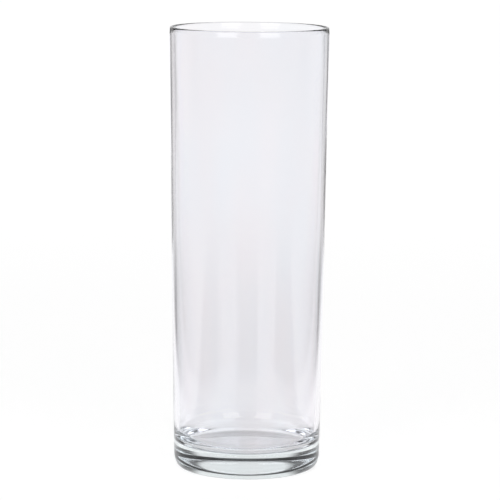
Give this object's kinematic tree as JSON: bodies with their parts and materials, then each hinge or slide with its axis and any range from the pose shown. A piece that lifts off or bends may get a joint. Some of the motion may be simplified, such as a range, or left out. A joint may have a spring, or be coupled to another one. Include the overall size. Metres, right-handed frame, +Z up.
{
  "type": "vase",
  "caption": "Tall clear glass cylinder vase with a thick flat floor, a rounded heel and a fire-polished rim, open at the top to hold water and cut stems.",
  "frame": {"origin": "centre of the circle that the vase stands on, in the plane of the standing ring", "axes": "+Z up along the vase's axis, from the foot to the mouth; +X and +Y are any two perpendicular directions, because the vase is round"},
  "size_m": [0.0896, 0.0896, 0.25],
  "materials": {
    "clear_glass": "clear soda-lime glass, fire-polished, faintly green where it is thick"
  },
  "bodies": {
    "root": {"glass_vase": "clear_glass"}
  },
  "joints": []
}
